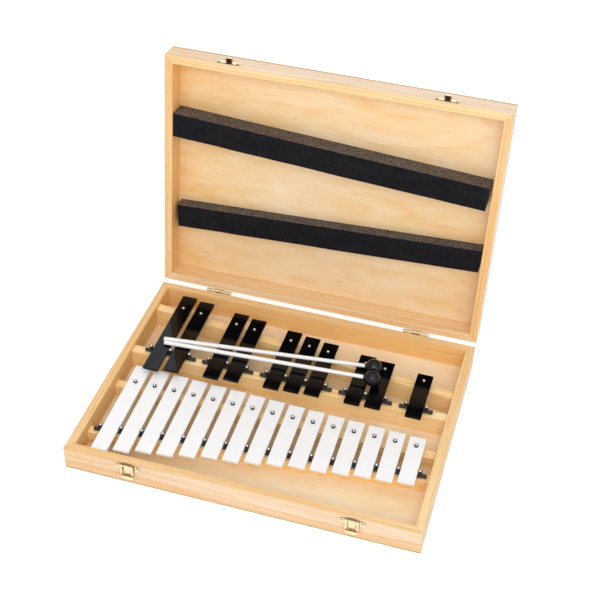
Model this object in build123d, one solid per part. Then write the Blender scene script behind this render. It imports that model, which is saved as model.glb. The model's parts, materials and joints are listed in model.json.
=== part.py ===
from build123d import *
import math
import os

# Chromatic glockenspiel in a hinged wooden case, two octaves and a semitone span from G5 to G7.
# Millimetres. +X runs along the case from the long bars to the short ones, +Y goes to the
# hinges, +Z is up. The origin is the centre of the base's underside. The lid stands open.

# ---- case ----
CASE_WIDTH = 430.0
CASE_DEPTH = 323.0
WALL = 10.5
PLY = 3.0
BASE_HEIGHT = 33.2
LID_HEIGHT = 29.7
SEAM = 0.3
WOOD_EDGE = 0.5

# ---- hinges ----
HINGE_BEHIND = 3.2
LID_OPEN_ANGLE = 97.1
HINGE_X = 136.0
HINGE_WIDTH = 34.0
LEAF_HEIGHT = 13.5
LEAF_THICK = 0.9
BARREL_R = 2.3
HINGE_PIN_R = 1.1
HINGE_PIN_CLEAR = 0.08
LID_BARREL = 11.4
BARREL_GAP = 0.3
LEAF_CORNER_R = 1.5
LEAF_SEAM = 0.2
LEAF_NOTCH = 3.4
PIN_ROD_PROUD = 0.4
PIN_ROD_ROUND = 0.4
STOP_HALF_WIDTH = 4.5
STOP_REACH = 5.5

# ---- rails that carry the bars ----
RAIL_WIDTH = 12.0
NATURAL_RAIL_TOP = 19.5
ACCIDENTAL_RAIL_TOP = 29.5
NATURAL_REAR_Y = -28.0
ACCIDENTAL_FRONT_Y = 28.4
NATURAL_FRONT_LINE = (-89.1, 0.1134)
ACCIDENTAL_REAR_LINE = (91.2, -0.113)

# ---- bars ----
PITCH = 25.55
BAR_WIDTH = 20.0
BAR_THICK = 3.4
BAR_EDGE = 0.45
LONGEST_BAR = 149.9
SEMITONES_PER_HALVING = 24
NATURAL_REAR_ENDS = (-6.2, -0.040)
ACCIDENTAL_REAR_ENDS = (110.9, -0.153)
BAR_HOLE_R = 2.6
# the naturals stand turned a little, their front ends to the right
NATURAL_TURN = 0.75
NATURAL_SHIFT = -0.2
ACCIDENTAL_SHIFT = -0.6

# ---- cushions, pins and sleeves ----
CORD_R = 2.5
CORD_END_ROUND = 1.2
NATURAL_CORD_OVERHANG = 8.2
ACCIDENTAL_CORD_OVERHANG = 8.4
PIN_R = 1.1
PIN_DEPTH = 12.0
PIN_HEAD_R = 1.85
PIN_HEAD_HEIGHT = 1.6
PIN_HEAD_CLEAR = 2.1
SLEEVE_R = 2.35
SLEEVE_SINK = 0.6
GROMMET_FOOT_R = 4.6
GROMMET_NECK_R = 2.45

# ---- lid foam ----
FOAM_WIDTH = 33.0
FOAM_END_GAP = 0.4
FRONT_FOAM_LINE = (-57.1, 0.059)
FRONT_FOAM_DEPTH = 26.5
REAR_FOAM_LINE = (56.0, -0.0463)
REAR_FOAM_DEPTH = 18.0

# ---- latches ----
LATCH_X = 135.0
PLATE_THICK = 0.8
BASE_WING = (31.0, 7.8)
BASE_WING_Z = 25.8
BASE_TAB_WIDTH = 7.8
BASE_TAB_BOTTOM = 14.6
LATCH_AXIS_OUT = 2.6
LATCH_AXIS_Z = 30.6
LATCH_BARREL_R = 1.7
LATCH_PIN_R = 0.7
LATCH_PIN_CLEAR = 0.08
PLATE_BARREL = 8.0
LOOP_WINDOW_HALF = 5.4
LOOP_LEG_WIDTH = 2.8
LOOP_THICK = 1.0
LOOP_LENGTH = 22.8
LOOP_WINDOW_END = 17.2
LOOP_CORNER_R = 5.6
LOOP_WINDOW_CORNER_R = 1.2
LOOP_LOBE_R = 1.5
LOOP_LOBE_INSET = 0.6
LOOP_LIP = 1.2
LOOP_LIP_HALF = 4.4
LID_WING = (30.0, 6.8)
LID_WING_Z = 40.0
HOOK_WIDTH = 8.2
HOOK_SHELF_Z = 42.8
HOOK_TIP_Z = 46.6
HOOK_OUT = 5.0
HOOK_BEND_R = 0.72
WING_ROUND = 0.45
BASE_TAB_ROUND = 3.5

# ---- nails ----
NAIL_R = 0.8
NAIL_LENGTH = 7.0
NAIL_HEAD_R = 1.8
NAIL_HEAD_HEIGHT = 0.8
NAIL_HEAD_ROUND = 0.64
HINGE_NAIL_SPACING = 20.0
HINGE_NAIL_DROP = 9.0
LATCH_NAIL_SPACING = 23.6

# ---- mallets ----
STICK_TIP_R = 2.8
STICK_HEAD_R = 2.45
STICK_TIP_ROUND = 1.5
STICK_CLEAR = 0.4
STICK_IN_HEAD = 4.9
HEAD_R = 10.3
HEAD_COLLAR_R = 3.6
HEAD_COLLAR_REACH = 11.2
HEAD_COLLAR_ROUND = 0.7
HEAD_Z = 48.4
MALLETS = {
    "mallet_1": ((101.9, 68.4), (-168.7, 44.6)),
    "mallet_2": ((105.0, 47.7), (-166.0, 38.4)),
}

# ---- modelling allowances: how far joined shapes run into each other, and cutters run past ----
OVERLAP = 0.2
PAST = 1.0

# ---- worked out from the above ----
HALF_WIDTH = CASE_WIDTH / 2
HALF_DEPTH = CASE_DEPTH / 2
INNER_X = HALF_WIDTH - WALL
INNER_Y = HALF_DEPTH - WALL
LID_RIM = BASE_HEIGHT + SEAM
LID_TOP = LID_RIM + LID_HEIGHT
PANEL_UNDERSIDE = LID_TOP - PLY
HINGE_Y = HALF_DEPTH + HINGE_BEHIND
HINGE_Z = BASE_HEIGHT + SEAM / 2
NATURAL_BAR_Z = NATURAL_RAIL_TOP + 2 * CORD_R
ACCIDENTAL_BAR_Z = ACCIDENTAL_RAIL_TOP + 2 * CORD_R
NATURAL_BAR_TOP = NATURAL_BAR_Z + BAR_THICK
ACCIDENTAL_BAR_TOP = ACCIDENTAL_BAR_Z + BAR_THICK
LATCH_AXIS_Y = -HALF_DEPTH - LATCH_AXIS_OUT

# the notes from G5 up to G7: name, semitones above G5, place along the row in bar pitches
NATURALS = [
    ("g5", 0), ("a5", 2), ("b5", 4), ("c6", 5), ("d6", 7), ("e6", 9), ("f6", 10), ("g6", 12),
    ("a6", 14), ("b6", 16), ("c7", 17), ("d7", 19), ("e7", 21), ("f7", 22), ("g7", 24),
]
ACCIDENTALS = [
    ("g5_sharp", 1, 0), ("a5_sharp", 3, 1), ("c6_sharp", 6, 3), ("d6_sharp", 8, 4),
    ("f6_sharp", 11, 6), ("g6_sharp", 13, 7), ("a6_sharp", 15, 8), ("c7_sharp", 18, 10),
    ("d7_sharp", 20, 11), ("f7_sharp", 23, 13),
]
# the accidentals' front pins stand in groups, one cushion cord to each group
ACCIDENTAL_GROUPS = [(0, 2), (3, 5), (6, 9), (10, 12), (13, 14)]
MIDDLE_NATURAL = (len(NATURALS) - 1) / 2


# ---- plain shapes ----
def block(x, y, z):
    """A box between two limits on each axis."""
    size = Box(x[1] - x[0], y[1] - y[0], z[1] - z[0])
    return Pos((x[0] + x[1]) / 2, (y[0] + y[1]) / 2, (z[0] + z[1]) / 2) * size


def prism(points, z):
    """A flat outline in X and Y, raised between two heights."""
    outline = make_face(Polyline(*points, close=True))
    return extrude(Pos(0, 0, z[0]) * outline, z[1] - z[0], dir=(0, 0, 1))


def post(x, y, z, radius):
    """A round post along Z between two heights."""
    return Pos(x, y, (z[0] + z[1]) / 2) * Cylinder(radius, z[1] - z[0])


def rod_x(x, y, z, radius):
    """A round rod along X between two ends."""
    return Pos((x[0] + x[1]) / 2, y, z) * Rot(0, 90, 0) * Cylinder(radius, x[1] - x[0])


def rod_y(x, y, z, radius):
    """A round rod along Y between two ends."""
    return Pos(x, (y[0] + y[1]) / 2, z) * Rot(90, 0, 0) * Cylinder(radius, y[1] - y[0])


def eased(solid, radius):
    """The solid with every edge rounded over."""
    return fillet(solid.edges(), radius)


def line_y(line, x):
    """Where a slanting line (its Y at X = 0, its slope) is at x."""
    return line[0] + line[1] * x


# ---- wooden case ----
def frame_walls(z):
    """The four mitred walls of a tray between two heights."""
    outer = [(-HALF_WIDTH, -HALF_DEPTH), (HALF_WIDTH, -HALF_DEPTH),
             (HALF_WIDTH, HALF_DEPTH), (-HALF_WIDTH, HALF_DEPTH)]
    inner = [(-INNER_X, -INNER_Y), (INNER_X, -INNER_Y), (INNER_X, INNER_Y), (-INNER_X, INNER_Y)]
    walls = {}
    for i, side in enumerate(("front", "right", "back", "left")):
        k = (i + 1) % 4
        wall = prism([outer[i], outer[k], inner[k], inner[i]], z)
        walls[side] = fillet(wall.edges().filter_by(lambda e: e.length > INNER_Y), WOOD_EDGE)
    return walls


def ply_sheet(z):
    """The thin sheet that closes a tray."""
    sheet = block((-HALF_WIDTH, HALF_WIDTH), (-HALF_DEPTH, HALF_DEPTH), z)
    return eased(sheet, WOOD_EDGE)


def rail(line, top):
    """A rail on the base's floor, from wall to wall along a slanting line."""
    half = RAIL_WIDTH / 2
    ends = [(-INNER_X, -half), (INNER_X, -half), (INNER_X, half), (-INNER_X, half)]
    solid = prism([(x, line_y(line, x) + off) for x, off in ends], (PLY, top))
    long_edges = solid.edges().filter_by(lambda e: e.length > INNER_X)
    return fillet(long_edges, WOOD_EDGE)


# ---- bars ----
def bar_length(semitones):
    """A bar's length halves for every two octaves."""
    return LONGEST_BAR * 2 ** (-semitones / SEMITONES_PER_HALVING)


def bar(x, rear, length, z, hole_y, turn=0.0):
    """A flat bar with its rear hole over the pin, turned about that pin."""
    plate = block((x - BAR_WIDTH / 2, x + BAR_WIDTH / 2), (rear - length, rear), (z, z + BAR_THICK))
    plate = eased(plate, BAR_EDGE)
    about = Pos(x, hole_y, 0)
    plate = about * Rot(0, 0, turn) * about.inverse() * plate
    return plate - post(x, hole_y, (z - PAST, z + BAR_THICK + PAST), BAR_HOLE_R)


def natural_x(i):
    """The x of a natural's rear pin."""
    return (i - MIDDLE_NATURAL) * PITCH + NATURAL_SHIFT


def natural_gap_x(i):
    """The x of the front pin to the left of a natural, which the bars' turn carries along."""
    straight = natural_x(i - 0.5)
    reach = NATURAL_REAR_Y - line_y(NATURAL_FRONT_LINE, straight)
    return straight + reach * math.tan(math.radians(NATURAL_TURN))


def accidental_x(gap):
    """The x of the accidental over a gap between naturals, or of a pin at gap - 0.5."""
    return (gap + 0.5 - MIDDLE_NATURAL) * PITCH + ACCIDENTAL_SHIFT


# ---- pins, sleeves and cushion cords ----
def pin(x, y, rail_top, bar_top):
    """A round-headed pin driven into a rail, its head just above the bars."""
    head_z = bar_top + PIN_HEAD_CLEAR
    shank = post(x, y, (rail_top - PIN_DEPTH, head_z + OVERLAP), PIN_R)
    dome_r = (PIN_HEAD_R ** 2 + PIN_HEAD_HEIGHT ** 2) / (2 * PIN_HEAD_HEIGHT)
    dome = Pos(x, y, head_z + PIN_HEAD_HEIGHT - dome_r) * Sphere(dome_r)
    dome = dome & post(x, y, (head_z, head_z + PIN_HEAD_HEIGHT + PAST), PIN_HEAD_R)
    return shank + dome


def sleeve(x, y, cord_top, bar_top):
    """The rubber tube on a pin between two bars, from the cord to the pin's head."""
    z = (cord_top - SLEEVE_SINK, bar_top + PIN_HEAD_CLEAR)
    return post(x, y, z, SLEEVE_R) - post(x, y, (z[0] - PAST, z[1] + PAST), PIN_R)


def grommet(x, y, rail_top, bar_z):
    """The rubber foot under a bar's rear hole, with a neck through the hole to the pin's head."""
    head_z = bar_z + BAR_THICK + PIN_HEAD_CLEAR
    foot = eased(post(x, y, (rail_top, bar_z), GROMMET_FOOT_R), BAR_EDGE)
    neck = post(x, y, (bar_z - PAST, head_z), GROMMET_NECK_R)
    return foot + neck - post(x, y, (rail_top - PAST, head_z + PAST), PIN_R)


def cushion_cord(start, end, pins):
    """A rubber cord with blunt ends, lying along a rail, pierced by its pins."""
    run = Vector(*end) - Vector(*start)
    cord = Solid.make_cylinder(CORD_R, run.length, Plane(origin=start, z_dir=run.normalized()))
    cord = fillet(cord.edges().filter_by(GeomType.CIRCLE), CORD_END_ROUND)
    return without(cord, pins)


def flat_cord(line, first_x, last_x, overhang, rail_top, pins):
    """A cushion cord along a rail's line, past its outer pins by the overhang."""
    ends = []
    for x in (first_x - overhang, last_x + overhang):
        ends.append((x, line_y(line, x), rail_top + CORD_R))
    return cushion_cord(ends[0], ends[1], pins)


# ---- brass hardware ----
def nail(x, y, z, into):
    """A small round-headed nail along Y; into is +1 when its point goes to +Y."""
    shank = rod_y(x, sorted((y - OVERLAP * into, y + NAIL_LENGTH * into)), z, NAIL_R)
    head = rod_y(x, sorted((y - NAIL_HEAD_HEIGHT * into, y)), z, NAIL_HEAD_R)
    rim = head.edges().filter_by(GeomType.CIRCLE).sort_by(Axis.Y)
    outer = rim[0] if into > 0 else rim[-1]
    return fillet(outer, NAIL_HEAD_ROUND) + shank


def hinge_leaf(x, up):
    """A leaf on a back wall: up is +1 for the lid's leaf, -1 for the base's."""
    half = HINGE_WIDTH / 2
    back = HALF_DEPTH
    near = HINGE_Z + up * LEAF_SEAM
    far = HINGE_Z + up * LEAF_HEIGHT
    plate = block((x - half, x + half), (back, back + LEAF_THICK), sorted((near, far)))
    corners = plate.edges().filter_by(Axis.Y).sort_by(Axis.Z)
    plate = fillet(corners[-2:] if up > 0 else corners[:2], LEAF_CORNER_R)
    lid_half = LID_BARREL / 2
    if up > 0:
        spans = [(x - lid_half, x + lid_half)]
        taken = [(x - half, x - lid_half - BARREL_GAP), (x + lid_half + BARREL_GAP, x + half)]
    else:
        spans = [(x - half, x - lid_half - BARREL_GAP), (x + lid_half + BARREL_GAP, x + half)]
        taken = [(x - lid_half, x + lid_half)]
    leaf = plate
    for a, b in taken:
        notch = (a - BARREL_GAP, b + BARREL_GAP)
        depth = (back - PAST, back + LEAF_THICK + PAST)
        leaf = leaf - block(notch, depth, sorted((HINGE_Z, HINGE_Z + up * LEAF_NOTCH)))
    for span in spans:
        root = sorted((HINGE_Z + up * (BARREL_R - LEAF_THICK), HINGE_Z + up * BARREL_R))
        leaf = leaf + rod_x(span, HINGE_Y, HINGE_Z, BARREL_R) + block(span, (back, HINGE_Y), root)
    bore = HINGE_PIN_R + (HINGE_PIN_CLEAR if up > 0 else 0)
    return leaf - rod_x((x - half - PAST, x + half + PAST), HINGE_Y, HINGE_Z, bore)


def base_stop(x):
    """The shelf under the barrels that the lid's lip lands on when the lid is open."""
    top = HINGE_Z - BARREL_R - SEAM
    shelf = (HALF_DEPTH, HINGE_Y + STOP_REACH)
    return block((x - STOP_HALF_WIDTH, x + STOP_HALF_WIDTH), shelf, (top - LEAF_THICK, top))


def lid_stop(x):
    """The lip on the lid's barrel, as it stands with the lid open."""
    bottom = HINGE_Z - BARREL_R
    lip = (HINGE_Y, HINGE_Y + STOP_REACH)
    solid = block((x - STOP_HALF_WIDTH, x + STOP_HALF_WIDTH), lip, (bottom, bottom + LEAF_THICK))
    bore = (x - STOP_HALF_WIDTH - PAST, x + STOP_HALF_WIDTH + PAST)
    return solid - rod_x(bore, HINGE_Y, HINGE_Z, HINGE_PIN_R + HINGE_PIN_CLEAR)


def hinge_nails(x, up):
    """Two nails through a leaf into the back wall."""
    z = HINGE_Z + up * HINGE_NAIL_DROP
    outside = HALF_DEPTH + LEAF_THICK
    return [nail(x + side * HINGE_NAIL_SPACING / 2, outside, z, -1) for side in (-1, 1)]


def wing_plate(x, z, size):
    """A plate with round ends on a front wall."""
    width, height = size
    y = (-HALF_DEPTH - PLATE_THICK, -HALF_DEPTH)
    plate = block((x - width / 2, x + width / 2), y, (z - height / 2, z + height / 2))
    return fillet(plate.edges().filter_by(Axis.Y), height * WING_ROUND)


def latch_nails(x, z):
    """Two nails through a latch's wings into the front wall."""
    outside = -HALF_DEPTH - PLATE_THICK
    return [nail(x + side * LATCH_NAIL_SPACING / 2, outside, z, 1) for side in (-1, 1)]


def latch_plate(x):
    """The base's latch plate: wings, a round tab below, and a barrel for the loop's pin."""
    y = (-HALF_DEPTH - PLATE_THICK, -HALF_DEPTH)
    half = BASE_TAB_WIDTH / 2
    tab = block((x - half, x + half), y, (BASE_TAB_BOTTOM, BASE_WING_Z))
    tab = fillet(tab.edges().filter_by(Axis.Y).sort_by(Axis.Z)[:2], BASE_TAB_ROUND)
    span = (x - PLATE_BARREL / 2, x + PLATE_BARREL / 2)
    barrel = rod_x(span, LATCH_AXIS_Y, LATCH_AXIS_Z, LATCH_BARREL_R)
    root_top = LATCH_AXIS_Z + LATCH_BARREL_R
    root = block(span, (LATCH_AXIS_Y, -HALF_DEPTH), (root_top - PLATE_THICK, root_top))
    riser = block(span, y, (BASE_WING_Z, root_top))
    bore = rod_x((span[0] - PAST, span[1] + PAST), LATCH_AXIS_Y, LATCH_AXIS_Z, LATCH_PIN_R)
    return wing_plate(x, BASE_WING_Z, BASE_WING) + tab + riser + root + barrel - bore


def latch_loop(x):
    """The loop that swings up over the lid's hook, as it hangs: two legs, a window and a pull."""
    inner = LOOP_WINDOW_HALF
    outer = inner + LOOP_LEG_WIDTH
    y = (LATCH_AXIS_Y - LOOP_THICK / 2, LATCH_AXIS_Y + LOOP_THICK / 2)
    bottom = LATCH_AXIS_Z - LOOP_LENGTH
    sill = LATCH_AXIS_Z - LOOP_WINDOW_END
    plate = block((x - outer, x + outer), y, (bottom, LATCH_AXIS_Z))
    plate = fillet(plate.edges().filter_by(Axis.Y).sort_by(Axis.Z)[:2], LOOP_CORNER_R)
    through = (y[0] - PAST, y[1] + PAST)
    window = block((x - inner, x + inner), through, (sill, LATCH_AXIS_Z + PAST))
    window = fillet(window.edges().filter_by(Axis.Y).sort_by(Axis.Z)[:2], LOOP_WINDOW_CORNER_R)
    plate = plate - window
    for side in (-1, 1):
        lobe_x = x + side * (inner + LOOP_LOBE_INSET)
        plate = plate - rod_y(lobe_x, through, sill + LOOP_LOBE_R, LOOP_LOBE_R)
    lip_y = (y[1] - OVERLAP, y[1] + LOOP_LIP)
    lip = block((x - LOOP_LIP_HALF, x + LOOP_LIP_HALF), lip_y, (bottom, bottom + LOOP_THICK))
    loop = plate + lip
    for side in (-1, 1):
        span = sorted((x + side * (PLATE_BARREL / 2 + BARREL_GAP), x + side * outer))
        loop = loop + rod_x(span, LATCH_AXIS_Y, LATCH_AXIS_Z, LATCH_BARREL_R)
    bore_r = LATCH_PIN_R + LATCH_PIN_CLEAR
    return loop - rod_x((x - outer - PAST, x + outer + PAST), LATCH_AXIS_Y, LATCH_AXIS_Z, bore_r)


def latch_hook(x):
    """The lid's latch plate with the hook that the loop goes over, as it is with the lid shut."""
    outside = -HALF_DEPTH - HOOK_OUT
    span = (x - HOOK_WIDTH / 2, x + HOOK_WIDTH / 2)
    root = -HALF_DEPTH - PLATE_THICK + OVERLAP
    shelf = block(span, (outside, root), (HOOK_SHELF_Z, HOOK_SHELF_Z + PLATE_THICK))
    tip = block(span, (outside, outside + PLATE_THICK), (HOOK_SHELF_Z, HOOK_TIP_Z))
    hook = shelf + tip
    bend = hook.edges().filter_by(Axis.X).group_by(Axis.Z)[0].sort_by(Axis.Y)[0]
    hook = fillet(bend, HOOK_BEND_R)
    return wing_plate(x, LID_WING_Z, LID_WING) + hook


def pin_rod(x, y, z, half_length, radius):
    """A hinge or latch pin with slightly rounded ends."""
    rod = rod_x((x - half_length, x + half_length), y, z, radius)
    return fillet(rod.edges().filter_by(GeomType.CIRCLE), radius * PIN_ROD_ROUND)


# ---- lid foam ----
def foam(line, depth):
    """A foam strip on the lid's panel, from wall to wall along a slanting line."""
    half = FOAM_WIDTH / 2
    reach = INNER_X - FOAM_END_GAP
    ends = [(-reach, -half), (reach, -half), (reach, half), (-reach, half)]
    outline = [(x, line_y(line, x) + off) for x, off in ends]
    return prism(outline, (PANEL_UNDERSIDE - depth, PANEL_UNDERSIDE))


# ---- mallets ----
def mallet(head_xy, tip_xy):
    """A stick with a ball on its end, lying on the accidental bars: (stick, head)."""
    tip_z = ACCIDENTAL_BAR_TOP + STICK_TIP_R + STICK_CLEAR
    tip = Vector(*tip_xy, tip_z)
    centre = Vector(*head_xy, HEAD_Z)
    run = centre - tip
    yaw = math.degrees(math.atan2(run.Y, run.X))
    rise = math.degrees(math.asin(run.Z / run.length))
    place = Pos(*centre) * Rot(0, 0, yaw) * Rot(0, -rise, 0)
    length = run.length + STICK_IN_HEAD
    taper = Rot(0, 90, 0) * Cone(STICK_TIP_R, STICK_HEAD_R, length)
    stick = Pos(STICK_IN_HEAD - length / 2, 0, 0) * taper
    ends = stick.edges().filter_by(GeomType.CIRCLE).sort_by(Axis.X)
    stick = fillet(ends[0], STICK_TIP_ROUND)
    collar = rod_x((-HEAD_COLLAR_REACH, 0), 0, 0, HEAD_COLLAR_R)
    collar = fillet(collar.edges().filter_by(GeomType.CIRCLE).sort_by(Axis.X)[0], HEAD_COLLAR_ROUND)
    head = Sphere(HEAD_R) + collar - stick
    return place * stick, place * head


# ---- assembly ----
def opened(solid):
    """A piece of the lid, swung from shut to open about the hinges."""
    about = Pos(0, HINGE_Y, HINGE_Z)
    return about * Rot(-LID_OPEN_ANGLE, 0, 0) * about.inverse() * solid


def without(solid, tools):
    """A solid with each tool cut from it."""
    for tool in tools:
        solid = solid - tool
    return solid


def build():
    nodes = {}

    # pins: one through each bar's rear hole, and one on each side of each bar in front
    rear_rail = (NATURAL_REAR_Y, 0.0)
    front_rail = (ACCIDENTAL_FRONT_Y, 0.0)
    natural_rear = [(natural_x(i), NATURAL_REAR_Y) for i in range(len(NATURALS))]
    natural_front = []
    for i in range(len(NATURALS) + 1):
        x = natural_gap_x(i)
        natural_front.append((x, line_y(NATURAL_FRONT_LINE, x)))
    accidental_rear = []
    for name, semitones, gap in ACCIDENTALS:
        x = accidental_x(gap)
        accidental_rear.append((x, line_y(ACCIDENTAL_REAR_LINE, x)))
    accidental_front = [(accidental_x(i - 0.5), ACCIDENTAL_FRONT_Y) for i in range(len(NATURALS))]

    def pins(places, rail_top, bar_top):
        return [pin(x, y, rail_top, bar_top) for x, y in places]

    natural_rear_pins = pins(natural_rear, NATURAL_RAIL_TOP, NATURAL_BAR_TOP)
    natural_front_pins = pins(natural_front, NATURAL_RAIL_TOP, NATURAL_BAR_TOP)
    accidental_rear_pins = pins(accidental_rear, ACCIDENTAL_RAIL_TOP, ACCIDENTAL_BAR_TOP)
    accidental_front_pins = pins(accidental_front, ACCIDENTAL_RAIL_TOP, ACCIDENTAL_BAR_TOP)
    nodes["natural_pins"] = natural_rear_pins + natural_front_pins
    nodes["accidental_pins"] = accidental_rear_pins + accidental_front_pins

    # rails, each bored for its own pins
    nodes["natural_rear_rail"] = without(rail(rear_rail, NATURAL_RAIL_TOP), natural_rear_pins)
    nodes["natural_front_rail"] = without(
        rail(NATURAL_FRONT_LINE, NATURAL_RAIL_TOP), natural_front_pins)
    nodes["accidental_rear_rail"] = without(
        rail(ACCIDENTAL_REAR_LINE, ACCIDENTAL_RAIL_TOP), accidental_rear_pins)
    nodes["accidental_front_rail"] = without(
        rail(front_rail, ACCIDENTAL_RAIL_TOP), accidental_front_pins)

    # cushion cords on the front rails
    nodes["natural_cushion_cord"] = flat_cord(
        NATURAL_FRONT_LINE, natural_front[0][0], natural_front[-1][0],
        NATURAL_CORD_OVERHANG, NATURAL_RAIL_TOP, natural_front_pins)
    cords = []
    for first, last in ACCIDENTAL_GROUPS:
        cords.append(flat_cord(
            front_rail, accidental_front[first][0], accidental_front[last][0],
            ACCIDENTAL_CORD_OVERHANG, ACCIDENTAL_RAIL_TOP, accidental_front_pins[first:last + 1]))
    nodes["accidental_cushion_cords"] = cords

    # rubber sleeves on the front pins, and grommets on the rear ones
    natural_cord = nodes["natural_cushion_cord"]
    sleeves = [sleeve(x, y, NATURAL_BAR_Z, NATURAL_BAR_TOP) - natural_cord for x, y in natural_front]
    grommets = [grommet(x, y, NATURAL_RAIL_TOP, NATURAL_BAR_Z) for x, y in natural_rear]
    nodes["natural_pin_sleeves"] = sleeves + grommets
    sleeves = []
    for i, (x, y) in enumerate(accidental_front):
        group = [k for k, (first, last) in enumerate(ACCIDENTAL_GROUPS) if first <= i <= last][0]
        sleeves.append(sleeve(x, y, ACCIDENTAL_BAR_Z, ACCIDENTAL_BAR_TOP) - cords[group])
    grommets = [grommet(x, y, ACCIDENTAL_RAIL_TOP, ACCIDENTAL_BAR_Z) for x, y in accidental_rear]
    nodes["accidental_pin_sleeves"] = sleeves + grommets

    # bars
    for i, (name, semitones) in enumerate(NATURALS):
        x = natural_x(i)
        rear = line_y(NATURAL_REAR_ENDS, x)
        nodes["bar_" + name] = bar(
            x, rear, bar_length(semitones), NATURAL_BAR_Z, NATURAL_REAR_Y, NATURAL_TURN)
    for name, semitones, gap in ACCIDENTALS:
        x = accidental_x(gap)
        rear = line_y(ACCIDENTAL_REAR_ENDS, x)
        hole_y = line_y(ACCIDENTAL_REAR_LINE, x)
        nodes["bar_" + name] = bar(x, rear, bar_length(semitones), ACCIDENTAL_BAR_Z, hole_y)

    # nails, hinges and latches
    base_nails, lid_nails = [], []
    base_leaves, lid_leaves, rods = [], [], []
    latch_plates, hooks = [], []
    for side in (-1, 1):
        x = side * HINGE_X
        base_nails += hinge_nails(x, -1)
        lid_nails += hinge_nails(x, 1)
        base_leaves.append(hinge_leaf(x, -1) + base_stop(x))
        lid_leaves.append(opened(hinge_leaf(x, 1)) + lid_stop(x))
        rods.append(pin_rod(x, HINGE_Y, HINGE_Z, HINGE_WIDTH / 2 + PIN_ROD_PROUD, HINGE_PIN_R))
        x = side * LATCH_X
        base_nails += latch_nails(x, BASE_WING_Z)
        lid_nails += latch_nails(x, LID_WING_Z)
        latch_plates.append(latch_plate(x))
        hooks.append(latch_hook(x))
        loop_half = LOOP_WINDOW_HALF + LOOP_LEG_WIDTH + PIN_ROD_PROUD
        rods.append(pin_rod(x, LATCH_AXIS_Y, LATCH_AXIS_Z, loop_half, LATCH_PIN_R))
    nodes["hinge_base_leaves"] = [without(leaf, base_nails) for leaf in base_leaves]
    nodes["latch_base_plates"] = [without(plate, base_nails) for plate in latch_plates]
    nodes["base_hardware_nails"] = base_nails
    open_nails = [opened(solid) for solid in lid_nails]
    nodes["hinge_lid_leaves"] = [without(leaf, open_nails) for leaf in lid_leaves]
    nodes["latch_hooks"] = [opened(without(hook, lid_nails)) for hook in hooks]
    nodes["lid_hardware_nails"] = open_nails
    nodes["hinge_pins"] = rods
    nodes["latch_loop_left"] = latch_loop(-LATCH_X)
    nodes["latch_loop_right"] = latch_loop(LATCH_X)

    # base tray
    for side, wall in frame_walls((PLY, BASE_HEIGHT)).items():
        nodes[f"base_{side}_wall"] = wall
    for side in ("front", "back"):
        node = f"base_{side}_wall"
        nodes[node] = without(nodes[node], base_nails)
    nodes["base_floor"] = ply_sheet((0, PLY))

    # lid tray, built shut and then opened
    for side, wall in frame_walls((LID_RIM, PANEL_UNDERSIDE)).items():
        if side in ("front", "back"):
            wall = without(wall, lid_nails)
        nodes[f"lid_{side}_wall"] = opened(wall)
    nodes["lid_panel"] = opened(ply_sheet((PANEL_UNDERSIDE, LID_TOP)))
    nodes["lid_foam_front"] = opened(foam(FRONT_FOAM_LINE, FRONT_FOAM_DEPTH))
    nodes["lid_foam_rear"] = opened(foam(REAR_FOAM_LINE, REAR_FOAM_DEPTH))

    # mallets
    for name, (head_xy, tip_xy) in MALLETS.items():
        nodes[name + "_stick"], nodes[name + "_head"] = mallet(head_xy, tip_xy)
    return nodes


os.makedirs("parts", exist_ok=True)
for node, shape in build().items():
    if isinstance(shape, list):
        solids = [solid for piece in shape for solid in piece.solids()]
        shape = Compound(children=solids) if len(solids) > 1 else solids[0]
    export_step(shape, os.path.join("parts", node + ".step"))
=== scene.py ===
import json
import math

import bmesh
import bpy
from mathutils import Matrix, Vector, noise


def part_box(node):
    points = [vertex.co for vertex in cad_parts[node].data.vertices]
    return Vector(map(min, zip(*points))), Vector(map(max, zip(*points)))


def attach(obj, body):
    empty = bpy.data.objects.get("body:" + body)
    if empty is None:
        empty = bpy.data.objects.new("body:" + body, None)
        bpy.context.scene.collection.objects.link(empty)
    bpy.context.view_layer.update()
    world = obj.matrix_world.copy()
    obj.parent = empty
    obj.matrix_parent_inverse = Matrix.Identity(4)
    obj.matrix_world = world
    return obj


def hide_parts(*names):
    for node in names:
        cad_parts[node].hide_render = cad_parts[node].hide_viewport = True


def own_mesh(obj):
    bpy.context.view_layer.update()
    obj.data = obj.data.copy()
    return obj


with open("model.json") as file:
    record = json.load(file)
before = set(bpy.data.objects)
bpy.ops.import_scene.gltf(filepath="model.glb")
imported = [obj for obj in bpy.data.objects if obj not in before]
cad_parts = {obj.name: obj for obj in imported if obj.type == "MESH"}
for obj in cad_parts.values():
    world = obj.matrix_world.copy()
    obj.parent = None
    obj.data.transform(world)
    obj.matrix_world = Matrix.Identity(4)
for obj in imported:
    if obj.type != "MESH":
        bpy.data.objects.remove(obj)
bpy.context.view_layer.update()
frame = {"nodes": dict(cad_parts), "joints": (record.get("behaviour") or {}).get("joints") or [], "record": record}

# The glockenspiel in its open case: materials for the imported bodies, the two foam strips of
# the lid as cut foam, the studio and the camera. Metres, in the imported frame: +X along the
# case to the short bars, +Y to the hinges, +Z up.
MM = 0.001

# ---- the lid's own frame: the pose it has when it is shut ----
lid_hinge = next(j for j in frame["joints"] if j["name"] == "lid_hinge")
OPEN_ANGLE = math.radians(lid_hinge["range_deg"][1])
HINGE = Vector(lid_hinge["pos_m"])
SHUT = Matrix.Translation(HINGE) @ Matrix.Rotation(OPEN_ANGLE, 4, "X") @ Matrix.Translation(-HINGE)
OPEN = SHUT.inverted()

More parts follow.
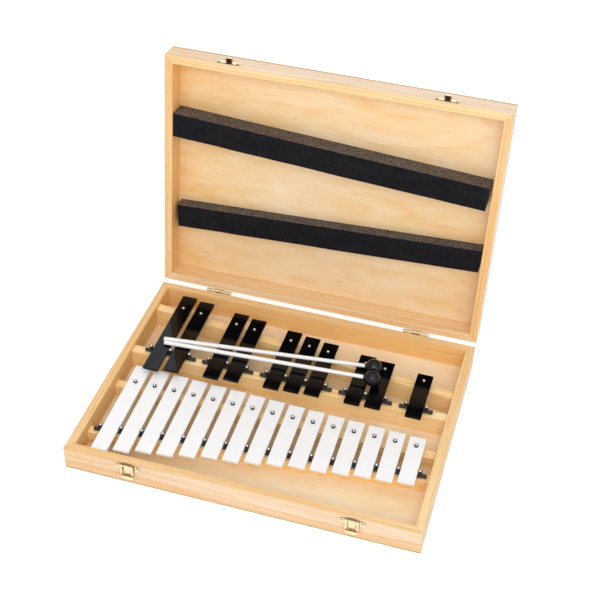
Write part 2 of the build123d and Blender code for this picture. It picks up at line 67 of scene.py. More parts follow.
# ---- the case, as its base is packed ----
floor_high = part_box("base_floor")[1]
HALF_WIDTH = floor_high.x
HALF_DEPTH = floor_high.y
PLY = floor_high.z
wall_low, wall_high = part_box("base_left_wall")
WALL = wall_high.x - wall_low.x
LID_TOP = max((SHUT @ v.co).z for v in frame["nodes"]["lid_panel"].data.vertices)
LID_UNDERSIDE = LID_TOP - PLY


def opened(direction):
    """A direction of the shut lid, as it points with the lid open."""
    return tuple(OPEN.to_3x3() @ Vector(direction))


# =====================================================================================
# Node materials
# =====================================================================================
class Shader:
    """A node material in the making. Each method adds a node and returns its output."""

    def __init__(self, name):
        self.material = bpy.data.materials.new(name)
        self.material.use_nodes = True
        self.tree = self.material.node_tree
        self.surface = self.tree.nodes["Principled BSDF"]

    def add(self, kind, output=0, inputs=None, **settings):
        """A node with some settings and inputs, each a constant or another node's output."""
        node = self.tree.nodes.new(kind)
        for key, value in settings.items():
            setattr(node, key, value)
        for key, value in (inputs or {}).items():
            self.feed(node.inputs[key], value)
        return node.outputs[output]

    def feed(self, socket, value):
        """Link the socket to a node's output, or set it to a constant."""
        if isinstance(value, bpy.types.NodeSocket):
            self.tree.links.new(value, socket)
        else:
            socket.default_value = value

    def place(self, lid=False, shift=(0, 0, 0)):
        """The point on the object at rest; for the lid's pieces, as if the lid were shut."""
        point = self.add("ShaderNodeTexCoord", "Object")
        offset = Vector(shift)
        angle = 0.0
        if lid:
            offset = offset + SHUT.to_translation()
            angle = OPEN_ANGLE
        return self.add("ShaderNodeMapping", inputs={
            "Vector": point, "Location": offset, "Rotation": (angle, 0, 0)})

    def split(self, vector):
        """The vector's three parts."""
        node = self.tree.nodes.new("ShaderNodeSeparateXYZ")
        self.feed(node.inputs[0], vector)
        return node.outputs

    def join(self, x, y, z):
        return self.add("ShaderNodeCombineXYZ", inputs={0: x, 1: y, 2: z})

    def scaled(self, vector, scale):
        """The vector with each axis multiplied, which stretches what is drawn along it."""
        return self.add("ShaderNodeVectorMath", operation="MULTIPLY",
                        inputs={0: vector, 1: scale})

    def noise(self, vector, scale, detail=2.0, rough=0.5):
        """Soft noise about 0.5, with scale as its waves to the metre."""
        return self.add("ShaderNodeTexNoise", "Fac", inputs={
            "Vector": vector, "Scale": scale, "Detail": detail, "Roughness": rough})

    def dot(self, a, b):
        return self.add("ShaderNodeVectorMath", "Value", operation="DOT_PRODUCT", inputs={0: a, 1: b})

    def math(self, operation, a, b=0.0, clamp=False):
        return self.add("ShaderNodeMath", operation=operation, use_clamp=clamp,
                        inputs={0: a, 1: b})

    def fit(self, value, old, new=(0.0, 1.0)):
        """The value carried from one range to another, and held inside it."""
        return self.add("ShaderNodeMapRange", inputs={
            "Value": value, "From Min": old[0], "From Max": old[1],
            "To Min": new[0], "To Max": new[1]})

    def curve(self, value, stops):
        """A smooth grey curve through (place, level) stops."""
        node = self.tree.nodes.new("ShaderNodeValToRGB")
        self.feed(node.inputs[0], value)
        marks = node.color_ramp.elements
        while len(marks) < len(stops):
            marks.new(0.5)
        for mark, (place, level) in zip(marks, stops):
            mark.position = place
            mark.color = (level, level, level, 1)
        return node.outputs[0]

    def mix(self, factor, a, b):
        """Colour a where factor is 0, colour b where it is 1."""
        node = self.tree.nodes.new("ShaderNodeMix")
        node.data_type = "RGBA"
        self.feed(node.inputs["Factor"], factor)
        for socket, value in ((node.inputs[6], a), (node.inputs[7], b)):
            if not isinstance(value, bpy.types.NodeSocket):
                value = (*value, 1.0)
            self.feed(socket, value)
        return node.outputs[2]

    def bump(self, height, distance, strength=1.0):
        return self.add("ShaderNodeBump", inputs={
            "Height": height, "Distance": distance, "Strength": strength})

    def finish(self, **sockets):
        """Set or link the surface's own sockets, and give back the material."""
        for key, value in sockets.items():
            if isinstance(value, tuple) and len(value) == 3:
                value = (*value, 1.0)
            self.feed(self.surface.inputs[key.replace("_", " ")], value)
        return self.material


def near(shader, value, limit, band):
    """1 where value is under limit, 0 past limit + band."""
    return shader.fit(value, (limit, limit + band), (1.0, 0.0))


# ---- wood ----
# each board's pale early wood and its orange late wood, as linear colours
FRONT_PINE = ((0.850, 0.630, 0.360), (0.785, 0.425, 0.135))
BACK_PINE = ((0.865, 0.625, 0.345), (0.790, 0.445, 0.155))
LID_BACK_PINE = ((0.855, 0.650, 0.430), (0.785, 0.450, 0.175))
WARM_PINE = ((0.860, 0.625, 0.360), (0.780, 0.430, 0.140))
RIGHT_PINE = ((0.900, 0.675, 0.400), (0.815, 0.475, 0.160))
SIDE_PINE = ((0.790, 0.540, 0.290), (0.720, 0.380, 0.115))
RAIL_PINE = ((0.970, 0.745, 0.420), (0.920, 0.560, 0.200))
# painted light and shade: the walls' outer faces are paler, their inner faces more orange, as light bounced inside
# the case would make them
LID_OUTER_LIGHTING = ((0.815, 0.665, 0.510), (0.755, 0.495, 0.265))
BASE_OUTER_LIGHTING = ((0.745, 0.590, 0.440), (0.675, 0.415, 0.195))
INSIDE_BOUNCE_TONE = (0.900, 0.530, 0.170)
# the plywood's pale and dark face veneer, and its core at the edges
VENEER = ((0.875, 0.700, 0.495), (0.790, 0.485, 0.185))
FLOOR_VENEER = ((0.930, 0.765, 0.545), (0.860, 0.565, 0.225))
PLY_CORE = (0.42, 0.20, 0.070)
FLECK = (0.38, 0.19, 0.075)
JOINT_LINE = (0.36, 0.19, 0.08)

# painted shade: where the outer faces are more orange, over these heights and this stretch at the long bars' end,
# each from full to none
OUTER_FOOT_SHADE = (4 * MM, 18 * MM)
OUTER_FOOT_SHADE_TONE = 0.60
OUTER_END_SHADE = (-0.21, -0.10)
OUTER_END_SHADE_TONE = 0.20

# how far from a corner's mitre its dark line reaches, and the width over which it fades
MITRE_LINE = 0.10 * MM
MITRE_FADE = 0.35 * MM


def from_outside(shader, px, py):
    """How far the point lies inside the case's ends, and inside its front and back."""
    return [shader.math("SUBTRACT", half, shader.math("ABSOLUTE", value))
            for half, value in ((HALF_WIDTH, px), (HALF_DEPTH, py))]


def pine(name, along, shift, tones, lid=False, pith=(0.052, -0.034), ring=4.2 * MM, inner_bounce=0.0):
    """Sawn pine: growth rings about a pith beside the board, fibres along it.

    inner_bounce is how much more orange a wall's inner face is painted than its rim, as painted bounce light and
    shade; 0 for a loose rail.
    """
    s = Shader(name)
    spot = s.place(lid, shift)
    x, y, z = s.split(spot)
    run, across = (x, y) if along == "x" else (y, x)
    board = s.join(run, across, z)
    wander = s.noise(s.scaled(board, (2.2, 16.0, 16.0)), 1.0, 2.0)
    ripple = s.noise(s.scaled(board, (9.0, 90.0, 90.0)), 1.0, 2.0)
    from_pith = s.join(0.0, s.math("SUBTRACT", across, pith[0]), s.math("SUBTRACT", z, pith[1]))
    radius = s.add("ShaderNodeVectorMath", "Value", operation="LENGTH", inputs={0: from_pith})
    turns = s.math("DIVIDE", radius, ring)
    turns = s.math("ADD", turns, s.math("MULTIPLY", wander, 5.0))
    turns = s.math("ADD", turns, s.math("MULTIPLY", ripple, 0.5))
    late = s.curve(s.math("FRACT", turns),
                   [(0.0, 0.0), (0.45, 0.14), (0.78, 0.55), (0.9, 1.0), (1.0, 0.0)])
    fibre = s.noise(s.scaled(board, (14.0, 1500.0, 1500.0)), 1.0, 3.0, 0.6)
    streak = s.noise(s.scaled(board, (3.0, 210.0, 210.0)), 1.0, 2.0, 0.6)
    patch = s.noise(s.scaled(board, (3.5, 26.0, 26.0)), 1.0, 2.0)
    strength = s.fit(patch, (0.35, 0.65), (0.45, 1.0))
    tone = s.math("MULTIPLY", late, strength)
    tone = s.math("ADD", tone, s.fit(fibre, (0.25, 0.75), (-0.22, 0.30)))
    tone = s.math("ADD", tone, s.fit(streak, (0.3, 0.7), (-0.28, 0.50)))
    tone = s.math("ADD", tone, s.fit(patch, (0.3, 0.7), (0.0, 0.22)), clamp=True)
    line = s.noise(s.scaled(board, (1.6, 420.0, 420.0)), 1.0, 1.0)
    tone = s.math("MAXIMUM", tone, s.fit(line, (0.60, 0.72), (0.0, 0.7)))
    colour = s.mix(tone, *tones)
    if inner_bounce:
        # a wall of a tray: how deep the point lies under the tray's outer faces
        px, py, pz = s.split(s.place(lid))
        from_end, from_side = from_outside(s, px, py)
        depth = s.math("MINIMUM", from_end, from_side)
        # painted bounce light and shade: the inner faces are mixed towards a deeper orange
        inner = s.fit(depth, (WALL - 0.5 * MM, WALL - 0.1 * MM))
        colour = s.mix(s.math("MULTIPLY", inner, inner_bounce), colour, INSIDE_BOUNCE_TONE)
        # the outer faces, with their own tones of painted light and shade, more orange towards the table and at
        # the long bars' end
        outer_tone = s.math("ADD", tone, s.fit(pz, OUTER_FOOT_SHADE, (OUTER_FOOT_SHADE_TONE, 0.0)))
        outer_tone = s.math("ADD", outer_tone, s.fit(px, OUTER_END_SHADE, (OUTER_END_SHADE_TONE, 0.0)), clamp=True)
        outer = s.mix(outer_tone, *(LID_OUTER_LIGHTING if lid else BASE_OUTER_LIGHTING))
        colour = s.mix(near(s, depth, 0.1 * MM, 0.3 * MM), colour, outer)
    canal = s.noise(s.scaled(board, (60.0, 1100.0, 1100.0)), 1.0, 0.0)
    colour = s.mix(s.fit(canal, (0.74, 0.80), (0.0, 0.45)), colour, FLECK)
    if inner_bounce:
        # the mitres show as thin dark lines
        off_mitre = s.math("ABSOLUTE", s.math("SUBTRACT", from_end, from_side))
        grime = s.fit(s.noise(spot, 300.0, 2.0), (0.3, 0.7), (0.25, 0.75))
        joint = s.math("MULTIPLY", near(s, off_mitre, MITRE_LINE, MITRE_FADE), grime)
        colour = s.mix(joint, colour, JOINT_LINE)
    relief = s.math("ADD", s.math("MULTIPLY", fibre, 0.7), s.math("MULTIPLY", late, 0.3))
    return s.finish(
        Base_Color=colour,
        Roughness=s.fit(fibre, (0.2, 0.8), (0.42, 0.60)),
        Normal=s.bump(relief, 0.10 * MM, 0.6))


def veneer(name, shift, bottom, tones, darker_by=0.0, lid=False):
    """Thin plywood: a pale face veneer with soft wide figure, and three plies at its edges.

    darker_by is how much darker the veneer is made: at the left end, most of all in the corner
    away from the hinges, in the middle of the right half, where the heartwood shows, and less so by the hinges.
    """
    s = Shader(name)
    spot = s.place(lid, shift)
    px, py, pz = s.split(s.place(lid))
    field = s.noise(s.scaled(spot, (2.6, 8.5, 8.5)), 1.0, 2.0, 0.45)
    contour = s.math("FRACT", s.math("MULTIPLY", field, 11.0))
    figure = s.curve(contour, [(0.0, 0.1), (0.5, 0.35), (0.86, 1.0), (1.0, 0.1)])
    fibre = s.noise(s.scaled(spot, (22.0, 1300.0, 1300.0)), 1.0, 3.0, 0.6)
    ray = s.noise(s.scaled(spot, (28.0, 75.0, 75.0)), 1.0, 2.0, 0.5)
    cloud = s.noise(s.scaled(spot, (3.0, 7.0, 7.0)), 1.0, 2.0)
    tone = s.math("MULTIPLY", figure, s.fit(cloud, (0.35, 0.65), (0.06, 0.26)))
    tone = s.math("ADD", tone, s.fit(fibre, (0.25, 0.75), (-0.26, 0.34)))
    tone = s.math("ADD", tone, s.fit(ray, (0.3, 0.7), (-0.12, 0.24)))
    if darker_by:
        left_end = s.fit(px, (-0.21, -0.03), (darker_by, 0.0))
        by_hinges = s.fit(py, (0.04, 0.10), (0.0, 0.65 * darker_by))
        far_corner = s.math("MULTIPLY", s.fit(px, (-0.21, -0.10), (darker_by, 0.0)),
                            s.fit(py, (-0.15, -0.09), (1.0, 0.0)))
        middle = s.math("MULTIPLY", s.fit(py, (-0.04, 0.02), (0.0, 0.75 * darker_by)),
                        s.fit(py, (0.04, 0.08), (1.0, 0.0)))
        middle = s.math("MULTIPLY", middle, s.fit(px, (-0.06, 0.05)))
        tone = s.math("ADD", tone, s.math("MAXIMUM", left_end, by_hinges))
        tone = s.math("ADD", tone, s.math("ADD", far_corner, middle))
    tone = s.math("ADD", tone, s.fit(cloud, (0.3, 0.7), (0.0, 0.30)), clamp=True)
    colour = s.mix(tone, *tones)
    dash = s.noise(s.scaled(spot, (70.0, 520.0, 520.0)), 1.0, 1.0)
    colour = s.mix(s.fit(dash, (0.72, 0.78), (0.0, 0.40)), colour, FLECK)
    # the three plies, seen only on the sheet's outer edges
    edge = near(s, s.math("MINIMUM", *from_outside(s, px, py)), 0.12 * MM, 0.15 * MM)
    height = s.math("DIVIDE", s.math("SUBTRACT", pz, bottom), PLY)
    core = s.curve(height,
                   [(0.0, 0.7), (0.32, 0.75), (0.36, 1.0), (0.64, 1.0), (0.68, 0.7), (1.0, 0.6)])
    grain = s.noise(spot, 700.0, 3.0, 0.7)
    core = s.math("MULTIPLY", core, s.fit(grain, (0.3, 0.7), (0.75, 1.1)), clamp=True)
    colour = s.mix(s.math("MULTIPLY", edge, core), colour, PLY_CORE)
    return s.finish(
        Base_Color=colour,
        Roughness=s.fit(fibre, (0.2, 0.8), (0.44, 0.60)),
        Normal=s.bump(fibre, 0.08 * MM, 0.5))


# ---- enamel, metal, rubber, plastic ----
# the cut edges' dull metal together with painted shade along the stampings' edges
CUT_EDGE_SHADE = (0.110, 0.060, 0.018)
# painted shade on the middle of the hooks' inner face
HOOK_SHADE = (0.016, 0.010, 0.006)
EDGE_SHADE_REACH = 0.8 * MM
HOOK_SHADE_HALF = 2.9 * MM
HOOK_SHADE_FADE = 0.4 * MM
LATCH_X = abs(next(j for j in frame["joints"] if j["name"] == "latch_left_swing")["pos_m"][0])


def enamel(name, low, high, gloss, peel, dust, shine, tint=(1.0, 1.0, 1.0)):
    """Sprayed enamel: slight orange peel, a few specks of dust, uneven gloss."""
    s = Shader(name)
    spot = s.place()
    drift = s.noise(spot, 35.0, 3.0)
    colour = s.mix(s.fit(drift, (0.35, 0.65)), low, high)
    speck = s.noise(spot, 1500.0, 0.0)
    colour = s.mix(s.fit(speck, (0.80, 0.84), (0.0, 0.5)), colour, dust)
    smear = s.noise(s.scaled(spot, (420.0, 60.0, 420.0)), 1.0, 3.0)
    skin = s.noise(spot, 650.0, 2.0)
    return s.finish(
        Base_Color=colour,
        Roughness=s.fit(smear, (0.3, 0.7), gloss),
        Specular_IOR_Level=shine,
        Specular_Tint=tint,
        Normal=s.bump(skin, peel))


def plated(name, low, high, gloss, brush, tarnish, facing=None, hollow=None):
    """Plated metal: fine brush marks, uneven gloss, a little tarnish.

    With facing, the way a stamping's broad faces look, its cut edges are dark, partly as their bare
    cut metal and partly as painted shade, and every rounded edge gets a painted-shade outline.
    With hollow, the way the inside of the lid's hooks looks, the middle of that face gets painted
    shade, dark; it needs facing too.
    """
    s = Shader(name)
    spot = s.place()
    marks = s.noise(s.scaled(spot, brush), 1.0, 3.0, 0.6)
    cloud = s.noise(spot, 240.0, 3.0)
    colour = s.mix(s.fit(cloud, (0.3, 0.7)), low, high)
    stain = s.noise(spot, 900.0, 2.0, 0.6)
    colour = s.mix(s.fit(stain, (0.62, 0.80), (0.0, 0.35)), colour, tarnish)
    if facing:
        normal = s.add("ShaderNodeTexCoord", "Normal")
        # the cut edges dark: partly their bare metal, partly painted shade
        edge = s.fit(s.math("ABSOLUTE", s.dot(normal, facing)), (0.35, 0.80), (0.85, 0.0))
        colour = s.mix(edge, colour, CUT_EDGE_SHADE)
        # painted shade: a dark outline along every rounded edge, where the gaps around the plates lie in shade
        rounded = s.add("ShaderNodeBevel", samples=6, inputs={"Radius": EDGE_SHADE_REACH})
        sharp = s.add("ShaderNodeNewGeometry", "Normal")
        colour = s.mix(s.fit(s.dot(rounded, sharp), (0.80, 0.97), (0.75, 0.0)), colour, CUT_EDGE_SHADE)
    # painted shade: the middle of the hook's inner face is dark, where its hollow lies in shade
    if hollow:
        inside = s.dot(normal, hollow)
        off = s.math("ABSOLUTE", s.math("SUBTRACT", s.math("ABSOLUTE", s.split(spot)[0]), LATCH_X))
        hook_shade_mask = s.math("MULTIPLY", s.fit(inside, (0.85, 0.97)), near(s, off, HOOK_SHADE_HALF, HOOK_SHADE_FADE))
        colour = s.mix(s.math("MULTIPLY", hook_shade_mask, s.fit(cloud, (0.3, 0.7), (0.85, 1.0))), colour, HOOK_SHADE)
    return s.finish(
        Base_Color=colour,
        Metallic=1.0,
        Roughness=s.fit(marks, (0.3, 0.7), gloss),
        Normal=s.bump(marks, 0.02 * MM, 0.5))


def rubber(name):
    """Black extruded rubber, dull, with fine pits and a trace of dust."""
    s = Shader(name)
    spot = s.place()
    pits = s.noise(spot, 2600.0, 3.0, 0.65)
    dust = s.noise(spot, 420.0, 4.0, 0.7)
    colour = s.mix(s.fit(dust, (0.45, 0.75)), (0.010, 0.010, 0.011), (0.030, 0.029, 0.029))
    return s.finish(
        Base_Color=colour,
        Roughness=s.fit(pits, (0.3, 0.7), (0.42, 0.62)),
        Normal=s.bump(pits, 0.06 * MM, 0.7))


def stick_plastic(name):
    """White sleeved stick: satin, with faint draw lines along it."""
    s = Shader(name)
    spot = s.place()
    draw = s.noise(s.scaled(spot, (6.0, 1400.0, 1400.0)), 1.0, 2.0)
    scuff = s.noise(s.scaled(spot, (120.0, 380.0, 380.0)), 1.0, 4.0, 0.65)
    colour = s.mix(s.fit(scuff, (0.42, 0.78)), (0.90, 0.90, 0.895), (0.77, 0.765, 0.755))
    return s.finish(
        Base_Color=colour,
        Roughness=s.fit(draw, (0.3, 0.7), (0.28, 0.42)),
        Normal=s.bump(draw, 0.03 * MM, 0.5))


def head_plastic(name):
    """Black moulded mallet head: glossy, with a soft cast texture and a few scuffs."""
    s = Shader(name)
    spot = s.place()
    cast = s.noise(spot, 300.0, 3.0)
    scuff = s.noise(s.scaled(spot, (500.0, 1400.0, 900.0)), 1.0, 3.0, 0.6)
    colour = s.mix(s.fit(cast, (0.35, 0.7)), (0.005, 0.005, 0.006), (0.012, 0.012, 0.015))
    colour = s.mix(s.fit(scuff, (0.66, 0.80), (0.0, 0.35)), colour, (0.060, 0.058, 0.056))
    return s.finish(
        Base_Color=colour,
        Roughness=s.fit(cast, (0.3, 0.7), (0.08, 0.17)),
        Specular_IOR_Level=0.32,
        Normal=s.bump(cast, 0.12 * MM, 0.5))


# ---- foam ----
def foam_skin(name):
    """The strip's front: a tight, nearly black cell skin."""
    s = Shader(name)
    spot = s.place()
    cells = s.noise(spot, 800.0, 3.0, 0.7)
    press = s.noise(s.scaled(spot, (45.0, 45.0, 110.0)), 1.0, 2.0)
    tone = s.math("ADD", s.fit(cells, (0.40, 0.62), (0.0, 0.8)), s.fit(press, (0.3, 0.7), (0.0, 0.2)))
    colour = s.mix(tone, (0.0006, 0.0006, 0.0014), (0.0165, 0.0160, 0.0195))
    return s.finish(
        Base_Color=colour,
        Roughness=0.85,
        Specular_IOR_Level=0.12,
        Normal=s.bump(cells, 0.20 * MM, 0.6))


def foam_cut(name):
    """The strip's sawn sides: open cells that catch the light as grey-brown speckle."""
    s = Shader(name)
    spot = s.place()
    cells = s.add("ShaderNodeTexVoronoi", "Distance", inputs={"Vector": spot, "Scale": 700.0})
    tuft = s.noise(spot, 560.0, 3.0, 0.7)
    drift = s.noise(spot, 60.0, 2.0)
    tone = s.math("MULTIPLY", s.fit(cells, (0.18, 0.62)), s.fit(tuft, (0.36, 0.64), (0.10, 1.2)))
    tone = s.math("ADD", tone, s.fit(drift, (0.3, 0.7), (-0.06, 0.06)), clamp=True)
    colour = s.mix(tone, (0.017, 0.014, 0.012), (0.220, 0.182, 0.156))
    return s.finish(
        Base_Color=colour,
        Roughness=0.9,
        Specular_IOR_Level=0.15,
        Normal=s.bump(cells, 0.35 * MM, 0.7))


# =====================================================================================
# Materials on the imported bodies
# =====================================================================================
def dress(node, material):
    """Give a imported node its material, in each slot that it has."""
    for slot in frame["nodes"][node].material_slots:
        slot.material = material


# each wall's wood, and how much painted bounce light and shade its inner face gets
INNER_BOUNCE = 0.55
LITTLE_INNER_BOUNCE = 0.25
WALLS = {
    "base_front_wall": (FRONT_PINE, INNER_BOUNCE),
    "base_back_wall": (BACK_PINE, INNER_BOUNCE),
    "base_left_wall": (WARM_PINE, INNER_BOUNCE),
    "base_right_wall": (RIGHT_PINE, INNER_BOUNCE),
    "lid_front_wall": (FRONT_PINE, INNER_BOUNCE),
    "lid_back_wall": (LID_BACK_PINE, LITTLE_INNER_BOUNCE),
    "lid_left_wall": (SIDE_PINE, INNER_BOUNCE),
    "lid_right_wall": (SIDE_PINE, INNER_BOUNCE),
}
# each board is cut from another place in the wood, so no two have the same figure
for i, (node, (tones, inner_bounce)) in enumerate(WALLS.items()):
    along = "y" if "left" in node or "right" in node else "x"
    cut_from = (0.37 * (i + 1), 0.003 * (i % 4), 0.004 * (i // 4))
    dress(node, pine(f"pine_{node}", along, cut_from, tones, lid=node.startswith("lid"), inner_bounce=inner_bounce))

RAILS = ("natural_front_rail", "natural_rear_rail", "accidental_front_rail", "accidental_rear_rail")
for i, node in enumerate(RAILS):
    dress(node, pine(f"pine_{node}", "x", (0.53 * (i + 1), 0.0, 0.0), RAIL_PINE,
                     pith=(0.03, -0.02 - 0.01 * i), ring=2.6 * MM))

dress("base_floor", veneer("veneer_base", (0.7, 0.2, 0.0), 0.0, FLOOR_VENEER))
dress("lid_panel", veneer("veneer_lid", (-0.4, 0.5, 0.0), LID_UNDERSIDE, VENEER, darker_by=0.45, lid=True))

white = enamel(
    "enamel_white", low=(0.870, 0.872, 0.880), high=(0.890, 0.892, 0.900),
    gloss=(0.30, 0.42), peel=0.03 * MM, dust=(0.74, 0.74, 0.73), shine=0.5)
black = enamel(
    "enamel_black", low=(0.0014, 0.0014, 0.0019), high=(0.0026, 0.0026, 0.0034),
    gloss=(0.03, 0.08), peel=0.006 * MM, dust=(0.030, 0.030, 0.032), shine=0.25,
    tint=(0.86, 0.87, 1.0))
steel = plated(
    "plated_steel", low=(0.66, 0.64, 0.62), high=(0.76, 0.745, 0.72),
    gloss=(0.06, 0.14), brush=(900.0, 900.0, 900.0), tarnish=(0.45, 0.40, 0.34))
hinge_brass = plated(
    "plated_brass_hinge", low=(0.54, 0.43, 0.23), high=(0.76, 0.66, 0.43),
    gloss=(0.16, 0.30), brush=(700.0, 1200.0, 1200.0), tarnish=(0.20, 0.13, 0.05))


def latch_brass(name, facing, hollow=None):
    """The latches' brighter brass."""
    return plated(
        name, low=(0.80, 0.63, 0.36), high=(0.88, 0.74, 0.49),
        gloss=(0.14, 0.28), brush=(90.0, 1200.0, 1200.0), tarnish=(0.46, 0.34, 0.14),
        facing=facing, hollow=hollow)


brass = latch_brass("plated_brass", (0, 1, 0))
lid_brass = latch_brass("plated_brass_lid", opened((0, 1, 0)), opened((0, 0, -1)))
black_rubber = rubber("rubber_black")
stick = stick_plastic("stick_white")
head = head_plastic("head_black")

BY_SLOT = {
    "white_bar": white,
    "black_bar": black,
    "pin_steel": steel,
    "hardware_brass": brass,
    "black_rubber": black_rubber,
    "mallet_stick": stick,
    "mallet_head": head,
}
for part in frame["record"]["subparts"]:
    if part["material_slot"] in BY_SLOT:
        dress(part["node"], BY_SLOT[part["material_slot"]])
for node in ("latch_hooks", "lid_hardware_nails"):
    dress(node, lid_brass)
for node in ("hinge_lid_leaves", "hinge_base_leaves", "hinge_pins"):
    dress(node, hinge_brass)


# =====================================================================================
# The lid's foam strips
# =====================================================================================
FOAM_INSET = 0.25 * MM
FOAM_ROUND = 1.1 * MM
FOAM_STEP = 1.8 * MM
# the cells' unevenness and the saw's slow wander, as heights, and how far both are sunk so that
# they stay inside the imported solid
GRIT = 0.16 * MM
WANDER = 0.35 * MM
SINK = 0.30 * MM


def spaced(length):
    """Places from 0 to length, close together near both ends, where the edges round over."""
    rim = [0.0, 0.30 * FOAM_ROUND, 0.65 * FOAM_ROUND, FOAM_ROUND]
    middle = length - 2 * FOAM_ROUND
    count = max(2, round(middle / FOAM_STEP))
    inner = [FOAM_ROUND + middle * k / count for k in range(1, count)]
    return rim + inner + [length - v for v in reversed(rim)]


def strip_outline(node):
    """The strip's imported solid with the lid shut: its Y limits at both ends, and its Z limits."""
    points = [SHUT @ v.co for v in frame["nodes"][node].data.vertices]
    left = [p for p in points if p.x < 0]
    right = [p for p in points if p.x > 0]
    ends = []
    for group in (left, right):
        ends.append((min(p.y for p in group), max(p.y for p in group)))
    reach = max(p.x for p in points)
    return reach, ends, min(p.z for p in points), max(p.z for p in points)


def foam_strip(name, node, materials, gaps):
    """A sawn foam strip: rounded edges, uneven cells, ends cut a little off square.

    materials are its skin and its sawn sides. gaps are how far each end's cut stays from the
    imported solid's end: (left near the base's front, left near the hinges, right near the
    front, right near the hinges).
    """
    reach, (left, right), low, high = strip_outline(node)
    length = 2 * reach
    width = left[1] - left[0] - 2 * FOAM_INSET
    depth = high - low - FOAM_INSET
    along, across, deep = spaced(length), spaced(width), spaced(depth)
    size = (length, width, depth)
    mesh = bmesh.new()
    made = {}

    def vertex(i, j, k):
        if (i, j, k) in made:
            return made[i, j, k]
        raw = Vector((along[i], across[j], deep[k]))
        core = Vector([min(max(v, FOAM_ROUND), s - FOAM_ROUND) for v, s in zip(raw, size)])
        out = (raw - core).normalized()
        on = core + out * FOAM_ROUND
        if k == 0:
            on.z = 0.0
        grit = noise.noise(on * 620.0 + Vector((7.0, 3.0, 1.0))) * GRIT
        wander = noise.noise(Vector((on.x * 24.0, on.y * 10.0, on.z * 10.0))) * WANDER
        if k > 0:
            on = on + out * (grit + wander - SINK)
        s, t = on.x / length, on.y / width
        start = gaps[0] * (1 - t) + gaps[1] * t
        stop = gaps[2] * (1 - t) + gaps[3] * t
        x = -reach + start + (length - start - stop) * s
        share = (x + reach) / length
        front = left[0] * (1 - share) + right[0] * share + FOAM_INSET
        made[i, j, k] = mesh.verts.new(OPEN @ Vector((x, front + on.y, high - on.z)))
        return made[i, j, k]

    last = (len(along) - 1, len(across) - 1, len(deep) - 1)
    for fixed in range(3):
        a, b = [axis for axis in range(3) if axis != fixed]
        for side in (0, last[fixed]):
            for p in range(last[a]):
                for q in range(last[b]):
                    ring = []
                    for dp, dq in ((0, 0), (1, 0), (1, 1), (0, 1)):
                        index = [0, 0, 0]
                        index[fixed], index[a], index[b] = side, p + dp, q + dq
                        ring.append(vertex(*index))
                    face = mesh.faces.new(ring)
                    face.smooth = True
                    face.material_index = 0 if fixed == 2 and side else 1
    bmesh.ops.recalc_face_normals(mesh, faces=mesh.faces[:])
    data = bpy.data.meshes.new(name)
    mesh.to_mesh(data)
    mesh.free()
    piece = bpy.data.objects.new(name, data)
    bpy.context.scene.collection.objects.link(piece)
    for material in materials:
        data.materials.append(material)
    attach(piece, "lid")
    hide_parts(node)
    return piece


foam = (foam_skin("foam_skin"), foam_cut("foam_cut"))
foam_strip("foam_strip_front", "lid_foam_front", foam, (0.3 * MM, 0.2 * MM, 2.8 * MM, 4.6 * MM))
rear = foam_strip("foam_strip_rear", "lid_foam_rear", foam, (3.2 * MM, 5.0 * MM, 1.7 * MM, 1.9 * MM))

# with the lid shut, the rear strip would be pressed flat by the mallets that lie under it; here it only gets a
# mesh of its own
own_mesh(rear)


# =====================================================================================
# Studio
# =====================================================================================
FLOOR_HALF = 6.0
FLOOR_Z = -0.1 * MM
ROOM_STRENGTH = 0.56
# each light's name, place, target, width and height, and power in watts
SOFTBOXES = (
    ("key_front", (-0.30, -1.75, 1.85), (0, 0, 0.03), (1.8, 1.4), 10.5),
    ("overhead", (0.2, -0.2, 2.4), (0, 0, 0), (2.4, 2.4), 11),
    ("beside_camera", (0.62, -1.65, 1.55), (0.05, 0.05, 0.05), (1.0, 1.0), 14),
    ("right_front", (1.7, -1.1, 1.2), (0.1, 0.05, 0.1), (1.0, 1.0), 3),
    ("back_wall", (-0.3, 2.0, 1.5), (0, 0.15, 0.05), (3.0, 2.0), 17),
    ("lamp_left", (-0.55, -1.75, 0.35), (0.1, 0.05, 0.05), (0.22, 0.34), 1.0),
    ("lamp_right", (1.35, -0.95, 0.32), (0.1, 0.05, 0.05), (0.22, 0.34), 1.0),
)


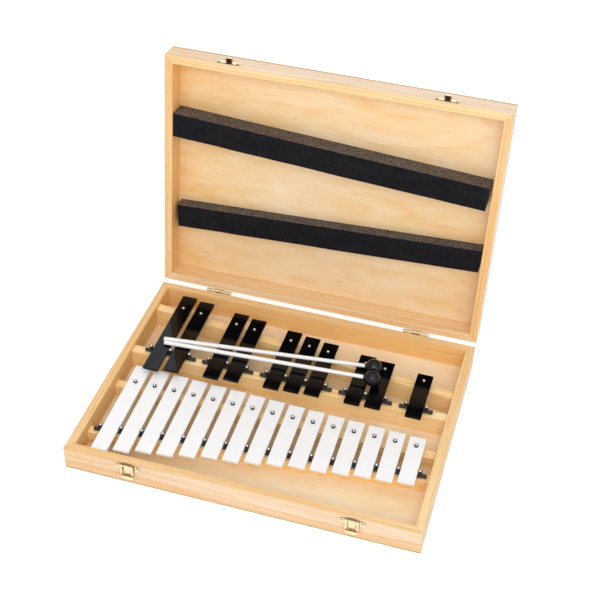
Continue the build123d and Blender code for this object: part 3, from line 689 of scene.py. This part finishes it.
def studio_floor():
    """A wide pale floor with a faint glow, so that it stays white behind the case too."""
    material = Shader("studio_floor").finish(
        Base_Color=(0.93, 0.93, 0.93),
        Roughness=0.8,
        Specular_IOR_Level=0.2,
        Emission_Color=(1.0, 1.0, 1.0),
        Emission_Strength=0.30)
    data = bpy.data.meshes.new("studio_floor")
    corners = [(x * FLOOR_HALF, y * FLOOR_HALF, FLOOR_Z) for x, y in ((-1, -1), (1, -1), (1, 1), (-1, 1))]
    data.from_pydata(corners, [], [(0, 1, 2, 3)])
    data.materials.append(material)
    floor = bpy.data.objects.new("studio_floor", data)
    bpy.context.scene.collection.objects.link(floor)


def softbox(name, place, target, size, power):
    """A rectangular area light at place, turned towards target."""
    data = bpy.data.lights.new(name, "AREA")
    data.shape = "RECTANGLE"
    data.size, data.size_y = size
    data.energy = power
    light = bpy.data.objects.new(name, data)
    light.location = place
    aim = Vector(target) - Vector(place)
    light.rotation_euler = aim.to_track_quat("-Z", "Y").to_euler()
    bpy.context.scene.collection.objects.link(light)


def white_room(strength):
    """An even white light from all round."""
    world = bpy.data.worlds.new("white_room")
    world.use_nodes = True
    back = world.node_tree.nodes["Background"]
    back.inputs["Color"].default_value = (1, 1, 1, 1)
    back.inputs["Strength"].default_value = strength
    bpy.context.scene.world = world


studio_floor()
white_room(ROOM_STRENGTH)
for box in SOFTBOXES:
    softbox(*box)


# =====================================================================================
# Camera
# =====================================================================================
CAMERA_PLACE = (0.3083, -1.0523, 1.1099)
CAMERA_AZIMUTH = math.radians(15.21)
CAMERA_ELEVATION = math.radians(40.10)
CAMERA_ROLL = math.radians(1.85)
LENS_MM = 74.67
SENSOR_MM = 36.0


def camera():
    """The camera, turned by its azimuth, then down by its elevation, then rolled a little."""
    data = bpy.data.cameras.new("camera")
    data.lens = LENS_MM
    data.sensor_width = SENSOR_MM
    turn = Matrix.Rotation(CAMERA_AZIMUTH, 4, "Z")
    tilt = Matrix.Rotation(math.pi / 2 - CAMERA_ELEVATION, 4, "X")
    roll = Matrix.Rotation(CAMERA_ROLL, 4, "Z")
    view = bpy.data.objects.new("camera", data)
    view.matrix_world = Matrix.Translation(CAMERA_PLACE) @ turn @ tilt @ roll
    bpy.context.scene.collection.objects.link(view)
    bpy.context.scene.camera = view


camera()
bpy.context.scene.view_settings.view_transform = "Standard"
